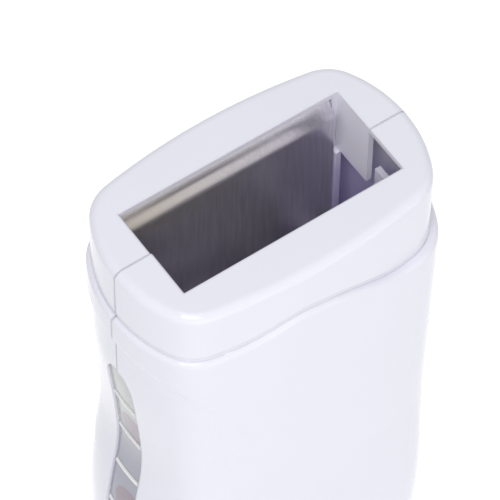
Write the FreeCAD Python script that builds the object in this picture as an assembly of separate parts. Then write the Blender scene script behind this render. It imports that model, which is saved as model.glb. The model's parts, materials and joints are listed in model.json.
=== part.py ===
import FreeCAD, Part
import math
import os

# Hand-held wax heater: two half shells round a heated chamber for a roll-on wax cartridge.
# Millimetres, +Z up, front towards -Y, origin on the ground under the middle of the body.

Vec = FreeCAD.Vector
ALONG_X = Vec(1, 0, 0)
ALONG_Y = Vec(0, 1, 0)
ALONG_Z = Vec(0, 0, 1)
ORIGIN = Vec(0, 0, 0)

# Overall size
height = 165.0
collar_length = 75.0
collar_width = 45.6
end_radius = 32.0
side_radius = 150.0
corner_radius = 10.5
wall = 2.0
foot_height = 1.5
bay_height = 70.0

# Collar, rim and lip
lip_step = 1.05
lip_round = 1.2
top_edge_round = 2.2
rim_thickness = 1.6
opening_length = 56.0
opening_width = 24.0
opening_edge = 0.3
opening_stagger = 0.3
collar_join = 4.0
collar_overlap = 6.0

# Shoulder line where the collar meets the body, measured down from the top face
shoulder_drop = 16.2
crest_rise = 2.2
crest_x = -5.0
crest_spread = 8.5
shoulder_fall = 5.6
fall_start = 3.0
fall_end = 24.0

# Snap groove round the collar's foot and the fine line along the seam
groove_height = 1.1
groove_depth = 0.2
groove_bite = 0.06
seam_line_width = 0.24
seam_line_depth = 0.35

# Sunk grip on the left end, measured down from the top face and along the skin from the seam
grip_top = 23.7
grip_bottom = 91.3
grip_reach = 31.5
grip_power = 2.6
grip_step = 1.0
grip_bevel = 3.0
grip_ease = 0.25
grip_fade_start = 70.0
waist_depth = 2.35
waist_drop = 71.0
waist_half_height = 34.0
waist_reach = 30.0

# Body swells at the right end and at the hips, and draws in towards its base
right_swell = 1.05
right_swell_start = 10.0
right_swell_end = 115.0
right_swell_reach = 24.0
hip_swell = 1.3
hip_start = 75.0
hip_end = 130.0
taper_height = 60.0
taper_depth = 4.0

# Spacing of the points that the skin and the shoulder pass
grip_spacing = 0.75
wall_spacing = 3.4
level_spacing = 6.0
grip_level_spacing = 2.4
grip_crown = 26.0
lip_blend = 12.0
band_spacing = 2.5
band_margin = 5.0

# Level window
window_top = 37.8
window_below_floor = 11.0
window_width = 9.6
window_arch = 7.0
window_sink = 0.6
window_gap = 0.28
flange_width = 1.6
flange_thickness = 0.8
flange_gap = 0.12
flange_room = 2.0
bar_first = 53.3
bar_pitch = 14.6
bar_height = 0.8
bar_rise = 0.35
keeper_thickness = 0.8
keeper_height = 2.0
keeper_reach = 4.8

# Heated chamber
liner_thickness = 1.0
liner_setback = 1.6
liner_left_gap = -0.5
liner_right_gap = 1.5
liner_top_gap = 0.4
flare_turn = 28.0
flare_angle = 36.0
flare_bend = 2.0
lip_bend = 40.0
liner_bend = 3.0

# Cradle under the liner
cradle_thickness = 2.5
cradle_margin = 0.6
cradle_lip = 7.0
cradle_lip_thickness = 1.4
cradle_end_gap = 0.4
sight_plate_rise = 1.5
sight_plate_margin = 1.8
sight_hole_radius = 5.5
sight_hole_pitch = 26.0
sight_hole_first = 0.5
shelf_thickness = 2.0
shelf_edge = 9.0
shelf_half_length = 19.0

# Ribs inside the shells
rib_thickness = 1.4
guide_gap = 0.3
guide_back = 0.5
rib_gap = 0.1
front_rib_half_length = 18.0
front_rib_low = 14.0
front_rib_high = 44.0
skirt_drop = 20.0
skirt_thickness = 1.4
skirt_return = 1.2
skirt_seam_gap = 0.3
end_rib_drop = 16.0
end_rib_height = 14.0
end_rib_setback = 1.8

# Screws
screw_radius = 1.5
screw_hole_gap = 0.05
screw_head_radius = 2.7
screw_head_height = 1.8
cross_width = 0.8
cross_depth = 0.9
cross_reach = 1.6
boss_wall = 1.5
boss_foot_gap = 0.02
case_screw_seat = 12.0
case_screw_depth = 7.0
case_screw_x = 26.0
case_screw_z = 48.0
peg_end = 5.5
left_peg_drop = 32.0
right_peg_drop = 72.0
peg_length = 5.0
hole_room = 2.0
tip_room = 0.8

# Base cover, feet
base_thickness = 2.5
base_gap = 0.15
base_screw_x = 17.0
base_screw_y = 10.0
base_screw_length = 7.5
base_boss_height = 8.0
foot_radius = 4.0
foot_sink = 0.8
foot_x = 25.0
foot_y = 7.5

# Heater stack on the rear of the liner
tile_thickness = 2.2
tile_length = 18.0
tile_height = 18.0
tile_gap = 2.0
electrode_thickness = 0.4
electrode_height = 19.0
electrode_tab = 2.5
electrode_tab_height = 4.0
film_thickness = 0.15
sleeve_wall = 0.8
sleeve_length = 43.0
sleeve_height = 24.0
sleeve_left_gap = 3.5
sleeve_rise = 18.0
mica_thickness = 0.8
plate_thickness = 1.0
plate_margin = 1.0
ear_width = 8.0
ear_reach = 6.0
ear_inset = 8.0
plate_screw_length = 4.0
thermostat_length = 18.0
thermostat_height = 7.5
control_rise = 11.0
fuse_radius = 2.0
fuse_length = 14.0
fuse_gap = 10.0

# Power switch on the lower front
switch_z = 34.0
switch_pocket = 2.5
switch_pad = 2.4
switch_pad_margin = 3.0
bezel_width = 15.0
bezel_height = 21.0
bezel_thickness = 1.8
bezel_round = 0.7
switch_body_width = 13.0
switch_body_height = 19.0
switch_body_depth = 13.0
panel_gap = 0.15
rocker_slot_width = 10.8
rocker_slot_height = 16.6
rocker_slot_depth = 9.0
rocker_side_gap = 0.3
rocker_end_radius = 8.0
rocker_crown = 2.3
rocker_tilt = 9.0
rocker_keel = 4.0
rocker_edge_round = 0.45
pivot_depth = 1.6
trunnion_radius = 1.2
trunnion_length = 0.9
trunnion_gap = 0.05
tab_width = 4.8
tab_thickness = 0.8
tab_length = 6.0
tab_inside = 1.2
tab_spacing = 10.0
snap_rise = 0.6
snap_length = 3.0

# Pilot light above the switch
light_z = 52.0
lens_radius = 2.0
lens_gap = 0.1
lens_flange_radius = 3.2
lens_flange = 1.0
lens_proud = 0.5
lens_nose = 0.45
led_radius = 1.5
led_length = 3.6
led_gap = 0.1
board_width = 12.0
board_height = 14.0
board_thickness = 1.6
board_stand = 5.0
board_screw_rise = 6.6
board_drop = 4.0
board_screw_length = 5.5

# Mains inlet on the lower rear
inlet_z = 20.0
inlet_pocket = 1.2
inlet_pad = 2.4
inlet_pad_margin = 2.0
inlet_flange_width = 22.0
inlet_flange_height = 13.0
inlet_flange_thickness = 1.6
inlet_body_width = 18.6
inlet_body_height = 10.4
inlet_body_depth = 13.0
inlet_cavity_depth = 11.5
inlet_lobe_radius = 3.9
inlet_waist = 3.1
pin_spacing = 8.6
pin_radius = 1.2
pin_sunk = 2.5
pin_tail = 3.0

# Inner leads
lead_radius = 0.8
thin_lead_radius = 0.5
lead_bend = 0.45
switched_lead_side = 2.5
switched_lead_x = -16.0
switched_lead_y = 8.0
switched_lead_low = 12.0
switched_lead_high = 4.0
heater_lead_side = 2.0
neutral_lead_side = 4.2
neutral_lead_low = 10.0
neutral_lead_rise = 16.0
pilot_lead_drop = 1.5
pilot_live_x = -1.2
pilot_neutral_x = 2.5
pilot_lead_run = 3.0
pilot_lead_fall = 4.0
pilot_neutral_side = 5.2
pilot_neutral_rise = 12.0

# Sizes that follow from those above
top = height
half_length = collar_length / 2
half_width = collar_width / 2
body_half_length = half_length + lip_step
body_half_width = half_width + lip_step
floor_z = bay_height
rim_z = top - rim_thickness
collar_join_z = top - shoulder_drop - shoulder_fall - lip_round - collar_join
window_top_z = top - window_top
window_bottom_z = floor_z - window_below_floor
liner_face = opening_width / 2 - liner_setback
liner_back = liner_face + liner_thickness
liner_left = -opening_length / 2 + liner_left_gap
liner_right = opening_length / 2 - liner_right_gap
liner_bottom = floor_z - liner_thickness
liner_top = rim_z - liner_top_gap
cradle_z = liner_bottom - cradle_thickness
guide_left = liner_left - guide_gap
guide_right = liner_right + guide_gap
sleeve_thickness = tile_thickness + 2 * (electrode_thickness + film_thickness + sleeve_wall)
stack_back = liner_back + sleeve_thickness
plate_front = stack_back + mica_thickness
plate_back = plate_front + plate_thickness
sleeve_left = liner_left + sleeve_left_gap
sleeve_right = sleeve_left + sleeve_length
sleeve_z = floor_z + sleeve_rise
control_z = floor_z + control_rise
hole_radius = screw_radius + screw_hole_gap
boss_radius = screw_radius + boss_wall
far = 2 * (collar_length + height)

# How far a cutting shape runs past a face, and how near counts as the same place
spare = 1.0
near = 0.01


def box(x0, x1, y0, y1, z0, z1):
    """A block between two corners."""
    return Part.makeBox(x1 - x0, y1 - y0, z1 - z0, Vec(x0, y0, z0))


def rod(radius, start, direction, length):
    """A round bar."""
    return Part.makeCylinder(radius, length, start, direction)


def joined(shapes):
    """Several overlapping solids made one."""
    first, *rest = shapes
    return first.fuse(rest).removeSplitter()


def smooth(value):
    """A soft step from 0 to 1."""
    t = min(max(value, 0.0), 1.0)
    return t * t * (3 - 2 * t)


def ramp(value):
    """A straight rise from 0 to 1 whose two ends are eased."""
    t = min(max(value, 0.0), 1.0)
    slope = 1 / (1 - grip_ease)
    if t < grip_ease:
        return slope * t ** 2 / (2 * grip_ease)
    if t > 1 - grip_ease:
        return 1 - slope * (1 - t) ** 2 / (2 * grip_ease)
    return slope * (t - grip_ease / 2)


def to_rear(shape):
    """The front half's shape turned over to the rear half."""
    return shape.mirror(ORIGIN, ALONG_Y)


class Outline:
    """Plan of the body: bulged ends and sides with tangent corner arcs, drawn in by an inset."""

    def __init__(self, inset):
        self.end_r = end_radius - inset
        self.side_r = side_radius - inset
        self.corner_r = corner_radius - inset
        self.end_x = half_length - end_radius
        self.side_y = half_width - side_radius
        end_to_corner = end_radius - corner_radius
        side_to_corner = side_radius - corner_radius
        apart = math.hypot(self.end_x, self.side_y)
        along = (end_to_corner ** 2 - side_to_corner ** 2 + apart ** 2) / (2 * apart)
        across = math.sqrt(end_to_corner ** 2 - along ** 2)
        unit_x = -self.end_x / apart
        unit_y = self.side_y / apart
        self.corner_x = self.end_x + along * unit_x - across * unit_y
        self.corner_y = along * unit_y + across * unit_x
        self.end_angle = math.atan2(self.corner_y, self.corner_x - self.end_x)
        self.side_angle = math.atan2(self.corner_y - self.side_y, self.corner_x)

    def arcs(self):
        """End, corner and side arcs of the +X +Y quarter: centre, radius, first and last angle."""
        return [(self.end_x, 0.0, self.end_r, 0.0, self.end_angle),
                (self.corner_x, self.corner_y, self.corner_r, self.end_angle, self.side_angle),
                (0.0, self.side_y, self.side_r, self.side_angle, math.pi / 2)]

    def quarter_point(self, angle):
        """Point of the +X +Y quarter whose outward direction has this angle."""
        for centre_x, centre_y, radius, first, last in self.arcs():
            if angle <= last:
                break
        return centre_x + radius * math.cos(angle), centre_y + radius * math.sin(angle)

    def quarter_lengths(self):
        """Lengths of the end, corner and side arcs of one quarter."""
        return [radius * (last - first) for x, y, radius, first, last in self.arcs()]

    def angle_at(self, distance):
        """Outward angle at a distance along the quarter from the end's middle."""
        for x, y, radius, first, last in self.arcs():
            angle = first + distance / radius
            if angle <= last:
                break
            distance -= radius * (last - first)
        return min(angle, last)

    def wire(self, z):
        """The whole plan as a closed wire of arcs at height z."""
        edges = []
        for turn_x, turn_y in ((1, 1), (-1, 1), (-1, -1), (1, -1)):
            for centre_x, centre_y, radius, first, last in self.arcs():
                trio = []
                for angle in (first, (first + last) / 2, last):
                    x = centre_x + radius * math.cos(angle)
                    y = centre_y + radius * math.sin(angle)
                    trio.append(Vec(turn_x * x, turn_y * y, z))
                edges.append(Part.Arc(*trio).toShape())
        return Part.Wire(Part.__sortEdges__(edges))


def plan_block(inset, z0, z1):
    """Upright block with the collar's plan drawn in by an inset."""
    return Part.Face(Outline(inset).wire(z0)).extrude(ALONG_Z * (z1 - z0))


def shoulder(x):
    """Height of the shoulder line above the ground."""
    crest = crest_rise * math.exp(-((x - crest_x) / crest_spread) ** 2)
    fall = shoulder_fall * smooth((x - fall_start) / (fall_end - fall_start))
    return top - shoulder_drop + crest - fall


def taper(z):
    """How far the skin is drawn in towards the base, less the swell of the hips."""
    hip = hip_swell * smooth((top - z - hip_start) / (hip_end - hip_start))
    return taper_depth * max(0.0, 1 - z / taper_height) ** 2 - hip


def right_end(distance, quarter, z):
    """How far the right end swells, at a distance along the skin from its middle."""
    level = 1 - smooth((top - z - right_swell_start) / (right_swell_end - right_swell_start))
    around = 1 - smooth((distance - right_swell_reach) / (quarter - right_swell_reach))
    return right_swell * level * around


def grip(distance, z):
    """How far the grip is sunk, at a distance along the skin from the left seam."""
    drop = top - z
    middle = (grip_top + grip_bottom) / 2
    half = (grip_bottom - grip_top) / 2
    share = (distance / grip_reach) ** grip_power + (abs(drop - middle) / half) ** grip_power
    inward = (1 - share ** (1 / grip_power)) * (grip_reach + half) / 2
    fade = 1 - smooth((drop - grip_fade_start) / (grip_bottom - grip_fade_start))
    upright = max(0.0, 1 - ((drop - waist_drop) / waist_half_height) ** 2) ** 2
    around = max(0.0, 1 - (distance / waist_reach) ** 2) ** 2
    return grip_step * fade * ramp(inward / grip_bevel) + waist_depth * upright * around


def stations(start, end, step):
    """Even stations from start up to but not including end."""
    count = max(1, math.ceil((end - start) / step))
    return [start + (end - start) * i / count for i in range(count)]


def skin_columns():
    """Distances along the front half's plan, close together where the grip is."""
    quarter = sum(Outline(-lip_step).quarter_lengths())
    fine = stations(0.0, grip_reach + grip_bevel, grip_spacing)
    left = stations(grip_reach + grip_bevel, quarter, wall_spacing)
    right = stations(quarter, 2 * quarter, wall_spacing)
    return fine + left + right + [2 * quarter]


def skin_point(distance, z, inset):
    """Point on the front half of the body, drawn in from its skin by an inset."""
    plan = Outline(-lip_step)
    quarter = sum(plan.quarter_lengths())
    side = -1 if distance <= quarter else 1
    from_end = distance if distance <= quarter else 2 * quarter - distance
    angle = plan.angle_at(max(from_end, 0.0))
    x, y = plan.quarter_point(angle)
    depth = inset + taper(z)
    if side < 0:
        depth += grip(from_end, z)
    else:
        depth -= right_end(from_end, quarter, z)
    return Vec(side * (x - depth * math.cos(angle)), -(y - depth * math.sin(angle)), z)


def body_rows(inset, low, high):
    """Level rows of skin points."""
    grip_low = top - grip_bottom
    crown_low = top - grip_top - grip_crown
    levels = []
    if low < grip_low:
        levels += stations(low, min(grip_low, high), level_spacing)
    if high > grip_low:
        levels += stations(max(grip_low, low), min(crown_low, high), grip_level_spacing)
    if high > crown_low:
        levels += stations(crown_low, high, grip_spacing)
    levels.append(high)
    return [[skin_point(d, z, inset) for d in skin_columns()] for z in levels]


def lip_rows(blend_z, inset):
    """Rows that change from level to the shoulder line and turn in over the lip."""
    columns = skin_columns()
    edge = [skin_point(d, blend_z, 0.0).x for d in columns]
    high = [shoulder(x) - inset for x in edge]
    rows = []
    for share in stations(0.0, 1.0, grip_spacing / lip_blend)[1:]:
        levels = [blend_z + share * (z - lip_round - blend_z) for z in high]
        rows.append([skin_point(d, z, inset) for d, z in zip(columns, levels)])
    for angle in stations(0.0, math.pi / 2, math.pi / 8) + [math.pi / 2]:
        drop = lip_round * (1 - math.sin(angle))
        turned = inset + lip_round * (1 - math.cos(angle))
        rows.append([skin_point(d, z - drop, turned) for d, z in zip(columns, high)])
    rows.append([skin_point(d, z, inset + lip_round + wall) for d, z in zip(columns, high)])
    return rows


def chord_stops(lines):
    """Parameters along a family of lines, from the mean distance between their points."""
    stops = [0.0]
    for i in range(1, len(lines[0])):
        chords = [line[i].distanceToPoint(line[i - 1]) for line in lines]
        stops.append(stops[-1] + sum(chords) / len(chords))
    return stops


def curve_through(points, stops):
    """Smooth curve that passes each point at its own parameter."""
    curve = Part.BSplineCurve()
    curve.interpolate(Points=list(points), Parameters=stops)
    return curve


def surface_through(rows):
    """Smooth surface that passes every point of a grid."""
    along = [curve_through(row, chord_stops(rows)) for row in rows]
    pole_columns = list(zip(*[curve.getPoles() for curve in along]))
    upward_stops = chord_stops(list(zip(*rows)))
    upward = [curve_through(column, upward_stops) for column in pole_columns]
    surface = Part.BSplineSurface()
    surface.buildFromPolesMultsKnots(
        [curve.getPoles() for curve in upward],
        along[0].getMultiplicities(), upward[0].getMultiplicities(),
        along[0].getKnots(), upward[0].getKnots(),
        False, False, along[0].Degree, upward[0].Degree)
    return surface


def half_solid(rows):
    """Solid of the front half between the seam plane and a skin through rows of points."""
    skin = surface_through(rows).toShape()
    corners = [rows[0][0], rows[0][-1], rows[-1][-1], rows[-1][0]]
    floor_line = Part.makeLine(corners[1], corners[0])
    top_line = Part.makeLine(corners[3], corners[2])
    sides = {}
    for edge in skin.Edges:
        ends = [vertex.Point for vertex in edge.Vertexes]
        if max(p.x for p in ends) < 0:
            sides["left"] = edge
        elif min(p.x for p in ends) > 0:
            sides["right"] = edge
        elif min(p.distanceToPoint(corners[0]) for p in ends) < near:
            sides["floor"] = edge
        else:
            sides["top"] = edge
    floor = Part.Face(Part.Wire(Part.__sortEdges__([sides["floor"], floor_line])))
    rim = [sides["left"], top_line, sides["right"], floor_line]
    seam = Part.Face(Part.Wire(Part.__sortEdges__(rim)))
    levels = [point.z for point in rows[-1]]
    if max(levels) - min(levels) < near:
        lid = Part.Face(Part.Wire(Part.__sortEdges__([sides["top"], top_line])))
    else:
        lid = Part.makeRuledSurface(sides["top"], top_line)
    shell = Part.makeShell([skin, floor, seam, lid])
    shell.sewShape()
    solid = Part.makeSolid(Part.Shell(shell.Faces))
    if solid.Volume < 0:
        solid.reverse()
    return solid


def body_half(inset, low, high):
    """Front half of the body between two levels, drawn in by an inset."""
    return half_solid(body_rows(inset, low, high))


FRONT_HALF = box(-far, far, -far, 0, -far, far)


def outer_half(inset):
    """Outside of the front half: body up to the lip, and the collar with its rounded top edge."""
    blend_z = top - shoulder_drop - shoulder_fall - lip_blend
    body = half_solid(body_rows(inset, foot_height, blend_z) + lip_rows(blend_z, inset))
    crown_z = top - inset
    collar = plan_block(inset, blend_z - wall, crown_z)
    crown = [edge for edge in collar.Edges if edge.BoundBox.ZMin > crown_z - near]
    collar = collar.makeFillet(top_edge_round - inset, crown)
    return body.fuse(collar.common(FRONT_HALF))


def cavity_half():
    """Hollow of the front half, under the rim and inside the walls."""
    low = body_half(wall, foot_height - spare, collar_join_z)
    high = plan_block(wall, collar_join_z - collar_overlap, rim_z)
    return low.fuse(high.common(FRONT_HALF))


def shoulder_band(rise):
    """Block under a line that follows the shoulder at a rise above it."""
    reach = body_half_length + band_margin
    points = [Vec(x, -far, shoulder(x) + rise) for x in stations(-reach, reach, band_spacing)]
    points.append(Vec(reach, -far, shoulder(reach) + rise))
    curve = Part.BSplineCurve()
    curve.interpolate(points)
    low_left = Vec(-reach, -far, 0)
    low_right = Vec(reach, -far, 0)
    lines = [Part.makeLine(points[-1], low_right), Part.makeLine(low_right, low_left)]
    lines.append(Part.makeLine(low_left, points[0]))
    wire = Part.Wire([curve.toShape()] + lines)
    return Part.Face(wire).extrude(ALONG_Y * (2 * far))


def snap_groove():
    """Ring cut round the collar's foot, just above the shoulder."""
    low = top - shoulder_drop - shoulder_fall - 2 * groove_height
    high = top - top_edge_round
    ring = plan_block(-2 * lip_step, low, high).cut(plan_block(groove_depth, low, high))
    return ring.common(shoulder_band(groove_height)).cut(shoulder_band(-groove_bite))


def arch_face(half, low, high, arch):
    """Upright slot outline with arched ends, drawn on the plane x = 0."""
    upper = Vec(0, 0, high - arch)
    lower = Vec(0, 0, low + arch)
    arch_top = Part.Ellipse(upper + ALONG_Z * arch, upper - ALONG_Y * half, upper)
    if arch < half:
        arch_top = Part.Ellipse(upper - ALONG_Y * half, upper + ALONG_Z * arch, upper)
    rear_side = Part.makeLine(lower + ALONG_Y * half, upper + ALONG_Y * half)
    front_side = Part.makeLine(upper - ALONG_Y * half, lower - ALONG_Y * half)
    cap = Part.Face(Part.Wire(arch_top.toShape()))
    foot = cap.translated(lower - upper)
    middle = Part.Face(Part.Wire(Part.__sortEdges__([
        rear_side, Part.makeLine(rear_side.Vertexes[1].Point, front_side.Vertexes[0].Point),
        front_side, Part.makeLine(front_side.Vertexes[1].Point, rear_side.Vertexes[0].Point)])))
    return cap.fuse([middle, foot]).removeSplitter().Faces[0]


def window_slot(grow):
    """Block through the left end with the window's outline, grown all round."""
    half = window_width / 2 + grow
    face = arch_face(half, window_bottom_z - grow, window_top_z + grow, window_arch + grow)
    return face.extrude(ALONG_X * -far)


def window_shell(outer_inset, inner_inset, margin):
    """Part of the left wall between two depths, beside the window."""
    low = window_bottom_z - margin
    high = window_top_z + margin
    skin = body_half(outer_inset, low, high).cut(body_half(inner_inset, low - spare, high + spare))
    return skin.common(box(-far, liner_left, -far, 0, -far, far))


def level_window():
    """Clear pane that fills the slot, with a flange behind the wall and raised level bars."""
    back = wall + flange_gap + flange_thickness
    margin = flange_width + flange_room
    pane = window_shell(window_sink, back, margin).common(window_slot(-window_gap))
    flange = window_shell(wall + flange_gap, back, margin).common(window_slot(flange_width))
    bars = []
    level = top - bar_first
    while level > window_bottom_z + window_arch:
        bars.append(box(-far, 0, -far, far, level - bar_height / 2, level + bar_height / 2))
        level -= bar_pitch
    proud = window_shell(window_sink - bar_rise, window_sink + wall / 4, margin)
    proud = proud.common(window_slot(-2 * window_gap)).common(Part.makeCompound(bars))
    half = joined([pane, flange] + proud.Solids)
    return joined([half, to_rear(half)])


def window_keepers(inside):
    """Hooks on the front shell that hold the window's flange against the wall."""
    margin = flange_width + flange_room
    gap = wall + flange_gap + flange_thickness + window_gap
    arm = window_shell(gap, gap + keeper_thickness, margin)
    root = window_shell(wall / 2, gap + keeper_thickness, margin)
    flange_edge = window_width / 2 + flange_width + 2 * window_gap
    half_span = (window_top_z - window_bottom_z) / 2 - window_arch
    middle = (window_top_z + window_bottom_z) / 2
    hooks = []
    for step in (-1, 0, 1):
        z = middle + step * half_span
        low = z - keeper_height / 2
        high = z + keeper_height / 2
        hooks.append(arm.common(box(-far, 0, -flange_edge, -keeper_reach, low, high)))
        hooks.append(root.common(box(-far, 0, -flange_edge - 3 * window_gap - keeper_thickness,
                                     -flange_edge, low, high)))
    return [hook.common(inside) for hook in hooks]


def case_screw_places():
    """Where the case screws run, as (x, z)."""
    return [(-case_screw_x, case_screw_z), (case_screw_x, case_screw_z)]


def peg_places():
    """Where the pegs line the two shells up beside the chamber, as (x, z)."""
    x = half_length - peg_end
    return [(-x, top - left_peg_drop), (x, top - right_peg_drop)]


def peg(x, z):
    """Peg on the front shell with a rounded tip."""
    pin = rod(screw_radius, Vec(x, -peg_length, z), ALONG_Y, 2 * peg_length)
    tip = [edge for edge in pin.Edges if edge.BoundBox.YMin > peg_length - near]
    return pin.makeFillet(screw_radius / 2, tip)


def base_boss(x, y):
    """Upright boss for a base screw, tied to the long wall by a rib."""
    low = foot_height + base_thickness + boss_foot_gap
    boss = rod(boss_radius, Vec(x, y, low), ALONG_Z, base_boss_height)
    reach = math.copysign(far, y)
    rib = box(x - rib_thickness / 2, x + rib_thickness / 2, min(y, reach), max(y, reach),
              low, low + base_boss_height)
    return [boss, rib]


def base_screw_hole(x, y):
    """Hole in a boss for a base screw."""
    seat_z = foot_height + screw_head_height
    return rod(hole_radius, Vec(x, y, seat_z), ALONG_Z, base_screw_length + tip_room)


def base_screw_places(side):
    """Where the base screws go into one shell, side -1 for the front and 1 for the rear."""
    return [(-base_screw_x, side * base_screw_y), (base_screw_x, side * base_screw_y)]


def skin_y(z):
    """Distance of the long walls' skin from the middle plane at a height."""
    return body_half_width - taper(z)


switch_face = -(skin_y(switch_z) - switch_pocket)
inlet_face = skin_y(inlet_z) - inlet_pocket
board_front = -(skin_y(light_z) - wall - board_stand)


def mouth_outline(grow, z):
    """Outline of the chamber's mouth at a height, grown all round."""
    x = opening_length / 2 + grow
    y = opening_width / 2 + grow
    corners = [Vec(-x, -y, z), Vec(x, -y, z), Vec(x, y, z), Vec(-x, y, z)]
    return Part.makePolygon(corners + corners[:1])


def mouth():
    """Block through the rim, widened a little at the top so that the rim's edge is broken."""
    low = top - opening_edge
    high = top + opening_edge
    block = Part.Face(mouth_outline(0, rim_z - spare)).extrude(ALONG_Z * (top - rim_z + 2 * spare))
    edge = Part.makeLoft([mouth_outline(0, low), mouth_outline(2 * opening_edge, high)], True, True)
    return block.fuse(edge)


def half_blank():
    """Shell common to both halves, made for the front."""
    shell = outer_half(0.0).cut(cavity_half())
    line = box(-far, far, -seam_line_width / 2, 0, foot_height, top).cut(outer_half(seam_line_depth))
    return shell.cut([mouth(), snap_groove(), window_slot(0.0), line])


def trim_half():
    """Space up to the middle of the walls, which ribs and bosses are cut back to."""
    low = body_half(wall / 2, foot_height, collar_join_z)
    high = plan_block(wall / 2, collar_join_z - collar_overlap, top - rim_thickness / 2)
    return low.fuse(high.common(FRONT_HALF))


def front_shell(blank, inside):
    """Front half of the case, with seats for the switch, the light, the liner and the screws."""
    additions = []
    cuts = []
    for x, z in case_screw_places():
        additions.append(rod(boss_radius, Vec(x, 0, z), -ALONG_Y, far))
        cuts.append(rod(hole_radius, Vec(x, spare, z), -ALONG_Y, case_screw_depth + hole_room))
    for x, z in peg_places():
        additions.append(rod(boss_radius, Vec(x, 0, z), -ALONG_Y, far))
    for x, y in base_screw_places(-1):
        additions += base_boss(x, y)
        cuts.append(base_screw_hole(x, y))
    for rise in (front_rib_low, front_rib_high):
        additions.append(box(-front_rib_half_length, front_rib_half_length, -far, -liner_back - rib_gap,
                             floor_z + rise, floor_z + rise + rib_thickness))
    additions.append(box(-far, far, -far, -shelf_edge, cradle_z - shelf_thickness, cradle_z))
    rib_x = opening_length / 2 + end_rib_setback
    rib_top = top - end_rib_drop
    additions.append(box(rib_x, rib_x + rib_thickness, -far, -skirt_seam_gap,
                         rib_top - end_rib_height, rib_top))
    pad_x = bezel_width / 2 + switch_pad_margin
    pad_z = bezel_height / 2 + switch_pad_margin
    additions.append(box(-pad_x, pad_x, -far, switch_face + switch_pad, switch_z - pad_z, switch_z + pad_z))
    screw_z = light_z + board_screw_rise
    additions.append(rod(boss_radius, Vec(0, board_front, screw_z), -ALONG_Y, far))
    cuts.append(rod(hole_radius, Vec(0, board_front + spare, screw_z), -ALONG_Y, board_stand))
    seat_x = switch_body_width / 2 + panel_gap
    seat_z = switch_body_height / 2 + panel_gap
    cuts.append(box(-seat_x, seat_x, -far, 0, switch_z - seat_z, switch_z + seat_z))
    land_x = bezel_width / 2 + panel_gap
    land_z = bezel_height / 2 + panel_gap
    cuts.append(box(-land_x, land_x, -far, switch_face, switch_z - land_z, switch_z + land_z))
    cuts.append(rod(lens_radius + lens_gap, Vec(0, board_front, light_z), -ALONG_Y, far))
    inner = [piece.common(inside) for piece in additions] + window_keepers(inside)
    inner += [peg(x, z) for x, z in peg_places()]
    return blank.fuse(inner).cut(cuts)


def rear_shell(blank, inside):
    """Rear half of the case, with the chamber's skirt, the inlet's seat and the screw wells."""
    blank = to_rear(blank)
    rear_inside = to_rear(inside)
    additions = []
    cuts = [mouth().translated(-ALONG_X * opening_stagger)]
    well = screw_head_radius + 2 * screw_hole_gap
    for x, z in case_screw_places():
        additions.append(rod(boss_radius, Vec(x, 0, z), ALONG_Y, far))
        additions.append(rod(well + boss_wall, Vec(x, case_screw_seat - boss_wall, z), ALONG_Y, far))
        cuts.append(rod(hole_radius, Vec(x, -spare, z), ALONG_Y, far))
        cuts.append(rod(well, Vec(x, case_screw_seat, z), ALONG_Y, far))
    for x, z in peg_places():
        additions.append(rod(boss_radius, Vec(x, 0, z), ALONG_Y, far))
        cuts.append(rod(hole_radius, Vec(x, -spare, z), ALONG_Y, peg_length + hole_room))
    for x, y in base_screw_places(1):
        additions += base_boss(x, y)
        cuts.append(base_screw_hole(x, y))
    for x, z in plate_screw_places():
        additions.append(rod(boss_radius, Vec(x, plate_back, z), ALONG_Y, far))
        cuts.append(rod(hole_radius, Vec(x, plate_back - spare, z), ALONG_Y, plate_screw_length))
    additions.append(box(-shelf_half_length, shelf_half_length, shelf_edge, far,
                         cradle_z - shelf_thickness, cradle_z))
    skirt_z = top - skirt_drop
    for left in (guide_left - rib_thickness, guide_right):
        additions.append(box(left, left + rib_thickness, liner_face - guide_back, far,
                             floor_z + guide_gap, skirt_z))
    edge_x = opening_length / 2
    edge_y = opening_width / 2
    additions.append(box(edge_x, edge_x + skirt_thickness, skirt_seam_gap, edge_y + skirt_thickness,
                         skirt_z, rim_z + rim_thickness / 2))
    additions.append(box(edge_x - skirt_return, edge_x + skirt_thickness, edge_y,
                         edge_y + skirt_thickness, skirt_z, rim_z + rim_thickness / 2))
    pad_x = inlet_flange_width / 2 + inlet_pad_margin
    pad_z = inlet_flange_height / 2 + inlet_pad_margin
    additions.append(box(-pad_x, pad_x, inlet_face - inlet_pad, far, inlet_z - pad_z, inlet_z + pad_z))
    seat_x = inlet_body_width / 2 + panel_gap
    seat_z = inlet_body_height / 2 + panel_gap
    cuts.append(box(-seat_x, seat_x, 0, far, inlet_z - seat_z, inlet_z + seat_z))
    land_x = inlet_flange_width / 2 + panel_gap
    land_z = inlet_flange_height / 2 + panel_gap
    cuts.append(box(-land_x, land_x, inlet_face, far, inlet_z - land_z, inlet_z + land_z))
    inner = [piece.common(rear_inside) for piece in additions]
    inner += [to_rear(hook) for hook in window_keepers(inside)]
    return blank.fuse(inner).cut(cuts)


def base_cover():
    """Bottom plate between the two shells, with seats for the feet and wells for the screws."""
    low = foot_height
    high = foot_height + base_thickness
    plate = plan_block(wall + base_gap + taper(low) - lip_step, low, high)
    cuts = []
    for x in (-foot_x, foot_x):
        for y in (-foot_y, foot_y):
            cuts.append(rod(foot_radius + screw_hole_gap, Vec(x, y, 0), ALONG_Z, low + foot_sink))
    for side in (-1, 1):
        for x, y in base_screw_places(side):
            cuts.append(rod(hole_radius, Vec(x, y, 0), ALONG_Z, 2 * high))
            cuts.append(rod(screw_head_radius + 2 * screw_hole_gap, Vec(x, y, 0), ALONG_Z,
                            low + screw_head_height))
    return plate.cut(cuts)


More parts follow.
